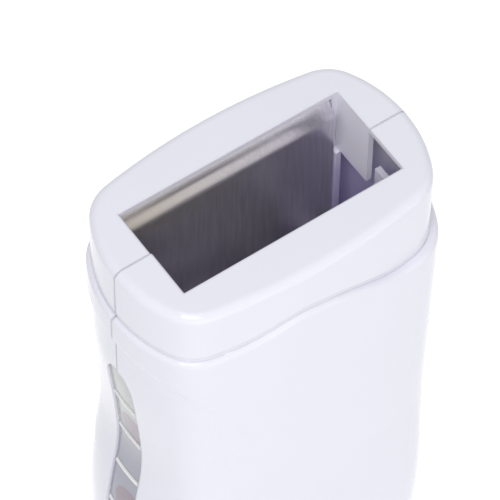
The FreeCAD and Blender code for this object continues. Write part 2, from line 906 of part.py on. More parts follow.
def base_feet():
    """Four rubber pads sunk in the base cover."""
    feet = []
    for x in (-foot_x, foot_x):
        for y in (-foot_y, foot_y):
            pad = rod(foot_radius, Vec(x, y, 0), ALONG_Z, foot_height + foot_sink)
            rim = [edge for edge in pad.Edges if edge.BoundBox.ZMax < near]
            feet.append(pad.makeFillet(foot_height / 3, rim))
    return Part.makeCompound(feet)


def screw(length):
    """Pan-head screw under the plane z = 0, with its head above and a cross in it."""
    head = rod(screw_head_radius, ORIGIN, ALONG_Z, screw_head_height)
    crown = [edge for edge in head.Edges if edge.BoundBox.ZMin > screw_head_height - near]
    head = head.makeFillet(screw_head_height / 3, crown)
    shank = rod(screw_radius, ORIGIN, -ALONG_Z, length)
    tip = [edge for edge in shank.Edges if edge.BoundBox.ZMax < -length + near]
    shank = shank.makeChamfer(screw_radius / 3, tip)
    low = screw_head_height - cross_depth
    high = screw_head_height + spare
    bars = [box(-cross_reach, cross_reach, -cross_width / 2, cross_width / 2, low, high),
            box(-cross_width / 2, cross_width / 2, -cross_reach, cross_reach, low, high)]
    return joined([head, shank]).cut(bars)


def placed_screw(length, seat, head_side):
    """A screw whose head sits on a point, on the side that a direction names."""
    turned = screw(length)
    turned.Placement = FreeCAD.Placement(seat, FreeCAD.Rotation(ALONG_Z, head_side))
    return turned


def case_screws():
    """Two screws from the rear wells into the front shell."""
    length = case_screw_seat + case_screw_depth
    places = case_screw_places()
    return Part.makeCompound([placed_screw(length, Vec(x, case_screw_seat, z), ALONG_Y) for x, z in places])


def base_screws():
    """Four screws up through the base cover."""
    seat_z = foot_height + screw_head_height
    places = base_screw_places(-1) + base_screw_places(1)
    return Part.makeCompound([placed_screw(base_screw_length, Vec(x, y, seat_z), -ALONG_Z)
                              for x, y in places])


def swung(centre, radius, angle):
    """Point at an angle above +Y on a circle about X."""
    return centre + Vec(0, radius * math.cos(angle), radius * math.sin(angle))


def swung_arc(centre, radius, start, end):
    """Arc about X between two angles."""
    middle = (start + end) / 2
    return Part.Arc(*[swung(centre, radius, angle) for angle in (start, middle, end)]).toShape()


def liner_sheet():
    """Inner faces of the liner: two walls that curl out at the top, and a floor, open at both short ends."""
    turn = math.radians(flare_turn)
    angle = math.radians(flare_angle)
    flare_z = liner_top - lip_bend * math.sin(angle) - (flare_bend - lip_bend) * math.sin(turn)
    flare_centre = Vec(0, -liner_face - flare_bend, flare_z)
    lip_centre = swung(flare_centre, flare_bend - lip_bend, turn)
    lip = swung_arc(lip_centre, lip_bend, angle, turn)
    flare = swung_arc(flare_centre, flare_bend, turn, 0)
    wall_top = Vec(0, -liner_face, flare_z)
    fold_top = Vec(0, -liner_face, floor_z + liner_bend)
    fold_end = Vec(0, -liner_face + liner_bend, floor_z)
    swing = liner_bend * (1 - math.sqrt(0.5))
    fold = Part.Arc(fold_top, Vec(0, -liner_face + swing, floor_z + swing), fold_end).toShape()
    front = [lip, flare, Part.makeLine(wall_top, fold_top), fold]
    floor = Part.makeLine(fold_end, Vec(0, liner_face - liner_bend, floor_z))
    rear = [to_rear(piece) for piece in front]
    profile = Part.Wire(Part.__sortEdges__(front + [floor] + rear))
    return profile.extrude(ALONG_X * (liner_right - liner_left)).translated(ALONG_X * liner_left)


def heater_liner():
    """Folded liner, its thickness on the outside of the sheet's inner faces."""
    sheet = liner_sheet()
    solid = sheet.makeOffsetShape(liner_thickness, near / 10, fill=True)
    if solid.BoundBox.ZMin > liner_bottom + liner_thickness / 2:
        solid = sheet.makeOffsetShape(-liner_thickness, near / 10, fill=True)
    return Part.makeSolid(solid.Shells[0])


def liner_cradle():
    """Tray under the liner, with an end lip on the right and a sight plate behind the window."""
    left = liner_left - cradle_end_gap
    right = liner_right + cradle_end_gap
    outer = left - cradle_lip_thickness
    depth = liner_back + cradle_margin
    tray = box(outer, right + cradle_lip_thickness, -depth, depth, cradle_z, liner_bottom)
    lip_half = liner_face - guide_back - guide_gap
    lip = box(right, right + cradle_lip_thickness, -lip_half, lip_half, cradle_z, liner_bottom + cradle_lip)
    plate_half = lip_half - sight_plate_margin
    plate = box(outer, left, -plate_half, plate_half, cradle_z, window_top_z + sight_plate_rise)
    holes = []
    for step in range(2):
        z = floor_z + sight_hole_first + step * sight_hole_pitch
        start = Vec(outer - spare, 0, z)
        holes.append(rod(sight_hole_radius, start, ALONG_X, cradle_lip_thickness + 2 * spare))
    return joined([tray, lip, plate]).cut(holes)


def sleeve_box(inset, x0, x1):
    """Block inside the heater sleeve's outline, drawn in by an inset."""
    return box(x0, x1, liner_back + inset, stack_back - inset,
               sleeve_z + inset, sleeve_z + sleeve_height - inset)


def heater_sleeve():
    """Flat aluminium tube that holds the heating tiles."""
    return sleeve_box(0, sleeve_left, sleeve_right).cut(sleeve_box(sleeve_wall, -far, far))


def insulating_film():
    """Film wrapped round the electrodes inside the sleeve."""
    outside = sleeve_box(sleeve_wall, sleeve_left, sleeve_right)
    return outside.cut(sleeve_box(sleeve_wall + film_thickness, -far, far))


def electrode_plates():
    """Two contact sheets on the faces of the tiles, each with a tab out of the sleeve's right end."""
    middle = sleeve_z + sleeve_height / 2
    front = liner_back + sleeve_wall + film_thickness
    plates = []
    rear = front + electrode_thickness + tile_thickness
    for y, tab_z in ((front, middle + electrode_height / 4), (rear, middle - electrode_height / 4)):
        sheet = box(sleeve_left + film_thickness, sleeve_right - sleeve_wall, y, y + electrode_thickness,
                    middle - electrode_height / 2, middle + electrode_height / 2)
        tab = box(sleeve_right - 2 * sleeve_wall, sleeve_right + electrode_tab, y, y + electrode_thickness,
                  tab_z - electrode_tab_height / 2, tab_z + electrode_tab_height / 2)
        plates.append(joined([sheet, tab]))
    return Part.makeCompound(plates)


def ptc_tiles():
    """Two ceramic heating tiles between the contact sheets."""
    middle_x = (sleeve_left + sleeve_right) / 2
    middle_z = sleeve_z + sleeve_height / 2
    front = liner_back + sleeve_wall + film_thickness + electrode_thickness
    tiles = []
    for side in (-1, 1):
        x = middle_x + side * (tile_length + tile_gap) / 2
        tiles.append(box(x - tile_length / 2, x + tile_length / 2, front, front + tile_thickness,
                         middle_z - tile_height / 2, middle_z + tile_height / 2))
    return Part.makeCompound(tiles)


def stack_box(y0, y1):
    """Block over the heater and the controls below it."""
    low = control_z - thermostat_height / 2 - plate_margin
    return box(sleeve_left - plate_margin, sleeve_right + plate_margin, y0, y1,
               low, sleeve_z + sleeve_height + plate_margin)


def plate_screw_places():
    """Where the pressure plate is screwed to the rear shell, as (x, z)."""
    low = control_z - thermostat_height / 2 - plate_margin - ear_reach / 2
    high = sleeve_z + sleeve_height + plate_margin + ear_reach / 2
    places = []
    for x in (sleeve_left + ear_inset, sleeve_right - ear_inset):
        places += [(x, low), (x, high)]
    return places


def mica_pad():
    """Heat-proof sheet between the heater and the pressure plate."""
    return stack_box(stack_back, plate_front)


def pressure_plate():
    """Steel plate with four ears that presses the heater on to the liner."""
    pieces = [stack_box(plate_front, plate_back)]
    holes = []
    for x, z in plate_screw_places():
        half = ear_width / 2
        reach = ear_reach / 2 + plate_margin
        pieces.append(box(x - half, x + half, plate_front, plate_back, z - reach, z + reach))
        holes.append(rod(hole_radius, Vec(x, 0, z), ALONG_Y, far))
    return joined(pieces).cut(holes)


def plate_screws():
    """Four screws through the pressure plate into the rear shell."""
    return Part.makeCompound([placed_screw(plate_screw_length, Vec(x, plate_front, z), -ALONG_Y)
                              for x, z in plate_screw_places()])


def thermostat():
    """Bimetal switch in its sleeve, held against the liner."""
    body = box(sleeve_left, sleeve_left + thermostat_length, liner_back, stack_back,
               control_z - thermostat_height / 2, control_z + thermostat_height / 2)
    long_edges = [edge for edge in body.Edges if edge.BoundBox.XLength > thermostat_length / 2]
    return body.makeFillet(sleeve_wall, long_edges)


fuse_left = sleeve_left + thermostat_length + fuse_gap
fuse_right = fuse_left + fuse_length
control_y = liner_back + fuse_radius


def thermal_fuse():
    """One-shot cut-out beside the thermostat."""
    body = rod(fuse_radius, Vec(fuse_left, control_y, control_z), ALONG_X, fuse_length)
    return body.makeFillet(fuse_radius / 3, [edge for edge in body.Edges if edge.BoundBox.XLength < near])


def bezel_block(x_half, z_half, y0, y1, round_over):
    """Panel block with rounded outer edges on its front face."""
    block = box(-x_half, x_half, y0, y1, switch_z - z_half, switch_z + z_half)
    face = [edge for edge in block.Edges if edge.BoundBox.YMax < y0 + near]
    return block.makeFillet(round_over, face)


pivot_y = switch_face - bezel_thickness + pivot_depth
switch_back = switch_face + switch_body_depth


def switch_housing():
    """Switch body with its bezel, the rocker's slot, the pivot holes and snap wedges."""
    face = switch_face - bezel_thickness
    bezel = bezel_block(bezel_width / 2, bezel_height / 2, face, switch_face, bezel_round)
    half_x = switch_body_width / 2
    half_z = switch_body_height / 2
    body = box(-half_x, half_x, switch_face - bezel_thickness / 2, switch_back,
               switch_z - half_z, switch_z + half_z)
    behind = switch_face + switch_pad + panel_gap
    wedges = []
    for side in (-1, 1):
        z = switch_z + side * half_z
        corner = [Vec(-tab_width / 2, behind, z), Vec(-tab_width / 2, behind, z + side * snap_rise),
                  Vec(-tab_width / 2, behind + snap_length, z)]
        outline = Part.makePolygon(corner + corner[:1])
        wedges.append(Part.Face(outline).extrude(ALONG_X * tab_width))
    slot_x = rocker_slot_width / 2
    slot_z = rocker_slot_height / 2
    slot = box(-slot_x, slot_x, face - spare, face + rocker_slot_depth, switch_z - slot_z, switch_z + slot_z)
    reach = slot_x - rocker_side_gap + trunnion_length + trunnion_gap
    pivot = rod(trunnion_radius + trunnion_gap, Vec(-reach, pivot_y, switch_z), ALONG_X, 2 * reach)
    holes = [slot, pivot]
    for z in tab_levels():
        half = tab_width / 2 + trunnion_gap
        thick = tab_thickness / 2 + trunnion_gap
        holes.append(box(-half, half, face + rocker_slot_depth - spare, far, z - thick, z + thick))
    return joined([bezel, body] + wedges).cut(holes)


def tab_levels():
    """Heights of the switch's two terminals."""
    return [switch_z - tab_spacing / 2, switch_z + tab_spacing / 2]


tab_end = switch_back + tab_length


def switch_terminals():
    """Two flat terminals through the back of the switch."""
    start = switch_face - bezel_thickness + rocker_slot_depth - tab_inside
    tabs = []
    for z in tab_levels():
        tabs.append(box(-tab_width / 2, tab_width / 2, start, tab_end,
                        z - tab_thickness / 2, z + tab_thickness / 2))
    return Part.makeCompound(tabs)


def switch_rocker():
    """Rocker with two sloping faces and two trunnions, tilted to its off position."""
    slope = math.tan(math.radians(rocker_tilt))
    square = 1 + slope ** 2
    straight = 2 * rocker_crown * slope
    spare = rocker_crown ** 2 - rocker_end_radius ** 2
    end_z = (-straight + math.sqrt(straight ** 2 - 4 * square * spare)) / (2 * square)
    end_out = rocker_crown + slope * end_z
    keel_z = math.sqrt(rocker_end_radius ** 2 - rocker_keel ** 2)
    half = rocker_slot_width / 2 - rocker_side_gap

    def at(out, z):
        return Vec(-half, pivot_y - out, switch_z + z)

    arc_high = Part.Arc(at(end_out, end_z), at(0, rocker_end_radius), at(-rocker_keel, keel_z)).toShape()
    arc_low = Part.Arc(at(-rocker_keel, -keel_z), at(0, -rocker_end_radius), at(end_out, -end_z)).toShape()
    edges = [Part.makeLine(at(rocker_crown, 0), at(end_out, end_z)), arc_high,
             Part.makeLine(at(-rocker_keel, keel_z), at(-rocker_keel, -keel_z)), arc_low,
             Part.makeLine(at(end_out, -end_z), at(rocker_crown, 0))]
    body = Part.Face(Part.Wire(edges)).extrude(ALONG_X * (2 * half))
    outside = pivot_y - rocker_crown + near
    face_edges = [edge for edge in body.Edges if edge.BoundBox.YMax < outside]
    border = [edge for edge in face_edges if edge.CenterOfMass.sub(at(rocker_crown, 0)).z ** 2 > near]
    body = body.makeFillet(rocker_edge_round, border)
    reach = half + trunnion_length
    trunnion = rod(trunnion_radius, Vec(-reach, pivot_y, switch_z), ALONG_X, 2 * reach)
    rocker = joined([body, trunnion])
    rocker.rotate(Vec(0, pivot_y, switch_z), ALONG_X, rocker_tilt)
    return rocker


light_skin = -skin_y(light_z)


def indicator_lens():
    """Small clear button in the front wall, with a flange behind it and a pocket for the lamp."""
    back = light_skin + wall + lens_gap
    stem = rod(lens_radius, Vec(0, back, light_z), -ALONG_Y, wall + lens_gap + lens_proud)
    nose = [edge for edge in stem.Edges if edge.BoundBox.YMax < light_skin]
    stem = stem.makeFillet(lens_nose, nose)
    flange = rod(lens_flange_radius, Vec(0, back, light_z), ALONG_Y, lens_flange)
    mouth_y = back + 2 * lens_flange
    pocket = rod(led_radius + led_gap, Vec(0, mouth_y, light_z), -ALONG_Y, 2 * lens_flange + wall / 2)
    return joined([stem, flange]).cut(pocket)


def indicator_led():
    """Lamp standing on the board, with its dome in the lens."""
    length = led_length - led_radius
    stem = rod(led_radius, Vec(0, board_front, light_z), -ALONG_Y, length)
    dome = Part.makeSphere(led_radius, Vec(0, board_front - length, light_z))
    return joined([stem, dome])


def indicator_board():
    """Small circuit board behind the lamp."""
    low = light_z - board_drop
    board = box(-board_width / 2, board_width / 2, board_front, board_front + board_thickness,
                low, low + board_height)
    return board.cut(rod(hole_radius, Vec(0, 0, light_z + board_screw_rise), -ALONG_Y, far))


def board_screw():
    """Screw that holds the board on its boss."""
    seat = Vec(0, board_front + board_thickness, light_z + board_screw_rise)
    return placed_screw(board_screw_length, seat, ALONG_Y)


inlet_back = inlet_face - inlet_body_depth


def inlet_body():
    """Two-pole inlet with a flange on the rear wall and a figure-of-eight socket."""
    mouth_y = inlet_face + inlet_flange_thickness
    flange = box(-inlet_flange_width / 2, inlet_flange_width / 2, inlet_face, mouth_y,
                 inlet_z - inlet_flange_height / 2, inlet_z + inlet_flange_height / 2)
    outer_edges = [edge for edge in flange.Edges if edge.BoundBox.YMin > mouth_y - near]
    flange = flange.makeFillet(bezel_round, outer_edges)
    half_x = inlet_body_width / 2
    half_z = inlet_body_height / 2
    body = box(-half_x, half_x, inlet_back, inlet_face + inlet_flange_thickness / 2,
               inlet_z - half_z, inlet_z + half_z)
    floor_y = mouth_y - inlet_cavity_depth
    cuts = [box(-pin_spacing / 2, pin_spacing / 2, floor_y, mouth_y + spare,
                inlet_z - inlet_waist, inlet_z + inlet_waist)]
    for side in (-1, 1):
        x = side * pin_spacing / 2
        cuts.append(rod(inlet_lobe_radius, Vec(x, floor_y, inlet_z), ALONG_Y, inlet_cavity_depth + spare))
        cuts.append(rod(pin_radius + trunnion_gap, Vec(x, 0, inlet_z), ALONG_Y, far))
    return joined([flange, body]).cut(cuts)


pin_end = inlet_back - pin_tail


def inlet_pins():
    """Two round contact pins through the back of the inlet."""
    tip = inlet_face + inlet_flange_thickness - pin_sunk
    pins = []
    for side in (-1, 1):
        pin = rod(pin_radius, Vec(side * pin_spacing / 2, pin_end, inlet_z), ALONG_Y, tip - pin_end)
        nose = [edge for edge in pin.Edges if edge.BoundBox.YMin > tip - near]
        pins.append(pin.makeFillet(pin_radius / 2, nose))
    return Part.makeCompound(pins)


def lead(points, radius):
    """Round insulated lead along straight runs joined by tangent arcs."""
    points = [Vec(*point) for point in points]
    edges = []
    start = points[0]
    for before, corner, after in zip(points, points[1:], points[2:]):
        back = (before - corner).normalize()
        onward = (after - corner).normalize()
        half_turn = (math.pi - back.getAngle(onward)) / 2
        cut = lead_bend * min(before.distanceToPoint(corner), after.distanceToPoint(corner))
        bend = cut / math.tan(half_turn)
        inward = (back + onward).normalize()
        middle = corner + inward * (bend / math.cos(half_turn) - bend)
        edges.append(Part.makeLine(start, corner + back * cut))
        edges.append(Part.Arc(corner + back * cut, middle, corner + onward * cut).toShape())
        start = corner + onward * cut
    edges.append(Part.makeLine(start, points[-1]))
    profile = Part.Wire(Part.makeCircle(radius, points[0], points[1] - points[0]))
    return Part.Wire(edges).makePipeShell([profile], True, False)


electrode_middle_y = liner_back + sleeve_thickness / 2
bay_middle_y = (tab_end + pin_end) / 2


def live_lead():
    """From the inlet's live pin to the switch."""
    low_tab = tab_levels()[0]
    x = -pin_spacing / 2
    return lead([(x, pin_end, inlet_z), (x, bay_middle_y, inlet_z), (0, bay_middle_y, low_tab),
                 (0, tab_end, low_tab)], lead_radius)


def switched_lead():
    """From the switch up the left side to the thermostat."""
    high_tab = tab_levels()[1]
    x = sleeve_left - switched_lead_side
    return lead([(0, tab_end, high_tab), (0, bay_middle_y, high_tab),
                 (switched_lead_x, switched_lead_y, cradle_z - switched_lead_low),
                 (x, electrode_middle_y, cradle_z - switched_lead_high), (x, electrode_middle_y, control_z),
                 (sleeve_left, electrode_middle_y, control_z)], lead_radius)


def link_lead():
    """From the thermostat to the thermal fuse."""
    return lead([(sleeve_left + thermostat_length, control_y, control_z), (fuse_left, control_y, control_z)],
                lead_radius)


def tab_place(front):
    """Middle of the outer edge of one electrode tab."""
    middle = sleeve_z + sleeve_height / 2
    x = sleeve_right + electrode_tab
    y = liner_back + sleeve_wall + film_thickness + electrode_thickness / 2
    if front:
        return x, y, middle + electrode_height / 4
    return x, y + electrode_thickness + tile_thickness, middle - electrode_height / 4


def heater_lead():
    """From the thermal fuse up to one electrode."""
    end_x, end_y, end_z = tab_place(False)
    x = end_x + heater_lead_side
    return lead([(fuse_right, control_y, control_z), (x, control_y, control_z), (x, end_y, end_z),
                 (end_x, end_y, end_z)], lead_radius)


def neutral_lead():
    """From the other electrode down the right side to the inlet's neutral pin."""
    end_x, end_y, end_z = tab_place(True)
    x = end_x + neutral_lead_side
    pin_x = pin_spacing / 2
    return lead([(end_x, end_y, end_z), (x, end_y, end_z),
                 (x, electrode_middle_y, cradle_z - neutral_lead_low),
                 (pin_x, bay_middle_y, inlet_z + neutral_lead_rise), (pin_x, bay_middle_y, inlet_z),
                 (pin_x, pin_end, inlet_z)], lead_radius)


def indicator_leads():
    """Thin pair from the board to the switch and to the inlet's neutral pin."""
    back = board_front + board_thickness
    tab_top = tab_levels()[1] + tab_thickness / 2
    tab_y = tab_end - tab_length / 2
    low = light_z - pilot_lead_drop
    live = lead([(pilot_live_x, back, low), (pilot_live_x, tab_y, low), (pilot_live_x, tab_y, tab_top)],
                thin_lead_radius)
    side = pin_spacing / 2 + pilot_neutral_side
    pin_y = pin_end + pin_tail / 2
    meet = pin_spacing / 2 + pin_radius
    neutral = lead([(pilot_neutral_x, back, low), (pilot_neutral_x, back + pilot_lead_run, low),
                    (side, tab_y, low - pilot_lead_fall), (side, pin_y, inlet_z + pilot_neutral_rise),
                    (side, pin_y, inlet_z), (meet, pin_y, inlet_z)], thin_lead_radius)
    return Part.makeCompound([live, neutral])


def build():
    """Every piece by its name."""
    blank = half_blank()
    inside = trim_half()
    return {
        "front_shell": front_shell(blank, inside),
        "rear_shell": rear_shell(blank, inside),
        "level_window": level_window(),
        "base_cover": base_cover(),
        "base_feet": base_feet(),
        "base_screws": base_screws(),
        "case_screws": case_screws(),
        "heater_liner": heater_liner(),
        "liner_cradle": liner_cradle(),
        "heater_sleeve": heater_sleeve(),
        "insulating_film": insulating_film(),
        "electrode_plates": electrode_plates(),
        "ptc_tiles": ptc_tiles(),
        "mica_pad": mica_pad(),
        "pressure_plate": pressure_plate(),
        "plate_screws": plate_screws(),
        "thermostat": thermostat(),
        "thermal_fuse": thermal_fuse(),
        "switch_housing": switch_housing(),
        "switch_rocker": switch_rocker(),
        "switch_terminals": switch_terminals(),
        "indicator_lens": indicator_lens(),
        "indicator_led": indicator_led(),
        "indicator_board": indicator_board(),
        "board_screw": board_screw(),
        "inlet_body": inlet_body(),
        "inlet_pins": inlet_pins(),
        "live_lead": live_lead(),
        "switched_lead": switched_lead(),
        "link_lead": link_lead(),
        "heater_lead": heater_lead(),
        "neutral_lead": neutral_lead(),
        "indicator_leads": indicator_leads(),
    }


os.makedirs("parts", exist_ok=True)
for name, shape in build().items():
    solids = shape.Solids
    print(name, "solids", len(solids), "valid", shape.isValid(), "volume", round(shape.Volume, 1))
    shape.exportStep("parts/" + name + ".step")
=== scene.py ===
import json
import math

import bpy
from mathutils import Matrix, Vector


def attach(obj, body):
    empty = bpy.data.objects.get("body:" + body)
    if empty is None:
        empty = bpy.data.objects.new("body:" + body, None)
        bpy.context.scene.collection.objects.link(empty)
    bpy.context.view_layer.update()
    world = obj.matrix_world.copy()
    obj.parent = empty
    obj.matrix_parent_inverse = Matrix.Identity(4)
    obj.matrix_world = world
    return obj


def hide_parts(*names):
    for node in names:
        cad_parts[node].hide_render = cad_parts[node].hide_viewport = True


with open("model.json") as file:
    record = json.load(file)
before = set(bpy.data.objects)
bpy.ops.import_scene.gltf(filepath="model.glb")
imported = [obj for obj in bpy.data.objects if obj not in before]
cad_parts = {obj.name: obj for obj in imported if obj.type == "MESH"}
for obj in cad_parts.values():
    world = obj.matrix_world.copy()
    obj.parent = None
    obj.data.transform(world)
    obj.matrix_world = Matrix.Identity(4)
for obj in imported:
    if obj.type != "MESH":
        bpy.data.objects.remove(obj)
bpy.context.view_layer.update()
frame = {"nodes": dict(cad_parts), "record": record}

# Lengths are in metres
MM = 0.001
HEIGHT = 165.0 * MM

# Smoothing of the CAD meshes' copies
MERGE_DISTANCE = 0.002 * MM
SMOOTH_ANGLE = 28.0

# Window: painted shade darkens its tint from head to foot, and two round spots of painted shade stand for
# the dark chamber seen through holes behind it
WINDOW_FOOT = 70.0 * MM
WINDOW_HEAD = 125.0 * MM
SHADED_SIGHT_HOLES = [(-1.9 * MM, 102.5 * MM), (-2.2 * MM, 72.4 * MM)]
SPOT_RADIUS = 4.8 * MM
SPOT_BLUR = 0.35 * MM
HOLE_SHADE_TONE = (0.46, 0.38, 0.44)

# Raised level bars on the window, from the top one down
BAR_TOP = 111.7 * MM
BAR_PITCH = 14.6 * MM
BAR_COUNT = 4
BAR_HALF = 0.45 * MM
BAR_LEVELS = [BAR_TOP - step * BAR_PITCH for step in range(BAR_COUNT)]

# Faces that keep the outer finish: those below the chamber and the side walls of the window's slot
CHAMBER_FLOOR = 70.0 * MM
WINDOW_WALL_X = -31.0 * MM
SLOT_WALL_TILT = 0.5

# Other faces are inside if the nearest wall in front of them is further off than a groove is wide; those get
# the painted shade
SEAM_ROOM = 0.8 * MM
GROOVE_ROOM = 4.0 * MM

# Inside of the case, where its painted shade runs from deep violet low down to pale at the top
SHADE_DEEP = 130.0 * MM
SHADE_TOP = 156.0 * MM

# Lip of the liner, where a painted warm reflection lies towards its left end
LIP_FOOT = 150.0 * MM
LIP_TOP = 158.0 * MM
LIP_LEFT = -28.0 * MM
LIP_RIGHT = 22.0 * MM
LIP_REFLECTION_TONE = (0.745, 0.71, 0.655)

# Marks on the rocker
SWITCH_Z = 34.0 * MM
MARK_OFFSET = 4.4 * MM
MARK_RADIUS = 1.5 * MM
MARK_LINE = 0.7 * MM
MARK_TONE = (0.80, 0.80, 0.78)

# Softened edges of the case
EDGE_SOFTNESS = 0.8 * MM
EDGE_SAMPLES = 6

# Fine grain, and the broad clouds that it is mixed with
GRAIN_DETAIL = 4.0
CLOUD_SCALE = 38.0
CLOUD_DETAIL = 3.0
GRAIN_LOW = 0.1
GRAIN_HIGH = 0.42
EVEN = (1.0, 1.0, 1.0)

# Part of a mask over which one tone turns into another
RAMP_LOW = 0.3
RAMP_HIGH = 0.7

# Colour sockets of a mix node, which share their names with its other sockets
MIX_UNDER = 6
MIX_OVER = 7
MIX_RESULT = 2

# Stage
WHITE = (1.0, 1.0, 1.0)
WORLD_COLOUR = (0.98, 0.985, 1.0)
WORLD_STRENGTH = 0.51
FLOOR_SIZE = 3.0
FLOOR_COLOUR = (0.88, 0.88, 0.89)
FLOOR_ROUGHNESS = 0.9
FLOOR_GLOW = 0.45

# Lamps: name, place, width, height and watts, all aimed at one point
LAMP_AIM = (0.0, 0.0, 0.11)
LAMPS = [
    ("front_lamp", (-0.02, -0.62, 0.08), 1.0, 0.05, 0.76),
    ("key_lamp", (-0.38, -0.42, 0.93), 0.4, 0.4, 3.9),
    ("top_lamp", (-0.05, -0.05, 1.25), 0.4, 0.4, 1.1),
]

# Camera, read from the photograph, with the mouth's middle a little off the middle of the picture
CAMERA_AZIMUTH = -35.54
CAMERA_ELEVATION = 56.39
CAMERA_ROLL = 0.97
CAMERA_DISTANCE = 0.8425
CAMERA_RIGHT = 2.53 * MM
CAMERA_UP = 12.63 * MM
CAMERA_LENS = 288.0
CAMERA_SENSOR = 36.0


# Nodes

def feed(tree, socket, value):
    """Link another node's output to an input, or set the input to a plain value."""
    if isinstance(value, bpy.types.NodeSocket):
        tree.links.new(value, socket)
    else:
        socket.default_value = value


def add_node(tree, kind, settings=None, inputs=None):
    """New node with its settings, and with its inputs fed by name or number."""
    node = tree.nodes.new(kind)
    for label, value in (settings or {}).items():
        setattr(node, label, value)
    for label, value in (inputs or {}).items():
        feed(tree, node.inputs[label], value)
    return node


def maths(tree, operation, first, second=0.0):
    """One sum, on values or on other nodes' outputs."""
    return add_node(tree, "ShaderNodeMath", {"operation": operation}, {0: first, 1: second}).outputs[0]


def surface_point(tree):
    """The point being shaded, in the piece's own coordinates."""
    return add_node(tree, "ShaderNodeTexCoord").outputs["Object"]


def coordinates(tree):
    """The three coordinates of the point being shaded, by the axis's letter."""
    return add_node(tree, "ShaderNodeSeparateXYZ", inputs={0: surface_point(tree)}).outputs


def far_from(tree, across, up, middle):
    """Distance of a point from a middle, in the plane of two coordinates."""
    first = maths(tree, "SUBTRACT", across, middle[0])
    second = maths(tree, "SUBTRACT", up, middle[1])
    squares = maths(tree, "ADD", maths(tree, "MULTIPLY", first, first),
                    maths(tree, "MULTIPLY", second, second))
    return maths(tree, "SQRT", squares)


def between(tree, value, low, high):
    """A value that runs from nought at one place to one at another."""
    span = add_node(tree, "ShaderNodeMapRange", inputs={"Value": value, "From Min": low, "From Max": high})
    return span.outputs["Result"]


def over(tree, mask, under, colour):
    """A colour laid over another where a mask is one."""
    mix = add_node(tree, "ShaderNodeMix", {"data_type": "RGBA"},
                   {"Factor": mask, MIX_UNDER: under, MIX_OVER: (*colour, 1.0)})
    return mix.outputs[MIX_RESULT]


def tone_ramp(tree, mask, tones):
    """Colour that runs between two tones as a mask goes from low to high."""
    ramp = add_node(tree, "ShaderNodeValToRGB", inputs={"Fac": mask})
    for element, position, tone in zip(ramp.color_ramp.elements, (RAMP_LOW, RAMP_HIGH), tones):
        element.position = position
        element.color = (*tone, 1.0)
    return ramp.outputs["Color"]


def add_bump(tree, shader, height, strength, depth):
    """Bump on the shader from a height."""
    bump = add_node(tree, "ShaderNodeBump", inputs={
        "Strength": strength, "Distance": depth, "Height": height})
    feed(tree, shader.inputs["Normal"], bump.outputs["Normal"])


# Shader group for the grain

def new_group(name, inputs, outputs):
    """Shader group with its inputs and outputs, and the two nodes that stand for them inside."""
    group = bpy.data.node_groups.new(name, "ShaderNodeTree")
    for label, kind in inputs:
        group.interface.new_socket(label, in_out="INPUT", socket_type=kind)
    for label, kind in outputs:
        group.interface.new_socket(label, in_out="OUTPUT", socket_type=kind)
    return group, group.nodes.new("NodeGroupInput"), group.nodes.new("NodeGroupOutput")


def grain_group():
    """Fine grain at a scale, stretched along the axes: a mask, a roughness and a height."""
    group, start, end = new_group(
        "fine_grain",
        [("Scale", "NodeSocketFloat"), ("Stretch", "NodeSocketVector"),
         ("Rough Low", "NodeSocketFloat"), ("Rough High", "NodeSocketFloat")],
        [("Mask", "NodeSocketFloat"), ("Roughness", "NodeSocketFloat"), ("Height", "NodeSocketFloat")])
    point = surface_point(group)
    stretch = add_node(group, "ShaderNodeVectorMath", {"operation": "MULTIPLY"},
                       {0: point, 1: start.outputs["Stretch"]})
    fine = add_node(group, "ShaderNodeTexNoise", inputs={
        "Vector": stretch.outputs[0], "Scale": start.outputs["Scale"], "Detail": GRAIN_DETAIL})
    broad = add_node(group, "ShaderNodeTexNoise", inputs={
        "Vector": point, "Scale": CLOUD_SCALE, "Detail": CLOUD_DETAIL})
    both = maths(group, "MULTIPLY", fine.outputs["Fac"], broad.outputs["Fac"])
    span = add_node(group, "ShaderNodeMapRange", inputs={
        "Value": both, "From Min": GRAIN_LOW, "From Max": GRAIN_HIGH,
        "To Min": start.outputs["Rough Low"], "To Max": start.outputs["Rough High"]})
    feed(group, end.inputs["Mask"], broad.outputs["Fac"])
    feed(group, end.inputs["Roughness"], span.outputs["Result"])
    feed(group, end.inputs["Height"], fine.outputs["Fac"])
    return group


GRAIN = grain_group()


def add_grain(tree, scale, stretch, rough):
    """The outputs of the fine grain, placed in a material with its own values."""
    grain = add_node(tree, "ShaderNodeGroup", {"node_tree": GRAIN}, {
        "Scale": scale, "Stretch": stretch, "Rough Low": rough[0], "Rough High": rough[1]})
    return grain.outputs


# Materials

def new_material(name):
    """Material, its nodes and its shader."""
    material = bpy.data.materials.new(name)
    material.use_nodes = True
    return material, material.node_tree, material.node_tree.nodes["Principled BSDF"]


def grained(name, rough, scale, stretch=EVEN, bump=0.1, depth=0.04 * MM, sockets=None):
    """Material with a fine grain in its roughness and its surface, and plain values on other sockets."""
    material, tree, shader = new_material(name)
    grain = add_grain(tree, scale, stretch, rough)
    feed(tree, shader.inputs["Roughness"], grain["Roughness"])
    if bump:
        add_bump(tree, shader, grain["Height"], bump, depth)
    for label, value in (sockets or {}).items():
        feed(tree, shader.inputs[label], value)
    return material, tree, shader, grain


def finish(name, tones, **grain_values):
    """Grained material with a little change of tone."""
    material, tree, shader, grain = grained(name, **grain_values)
    feed(tree, shader.inputs["Base Color"], tone_ramp(tree, grain["Mask"], tones))
    return material


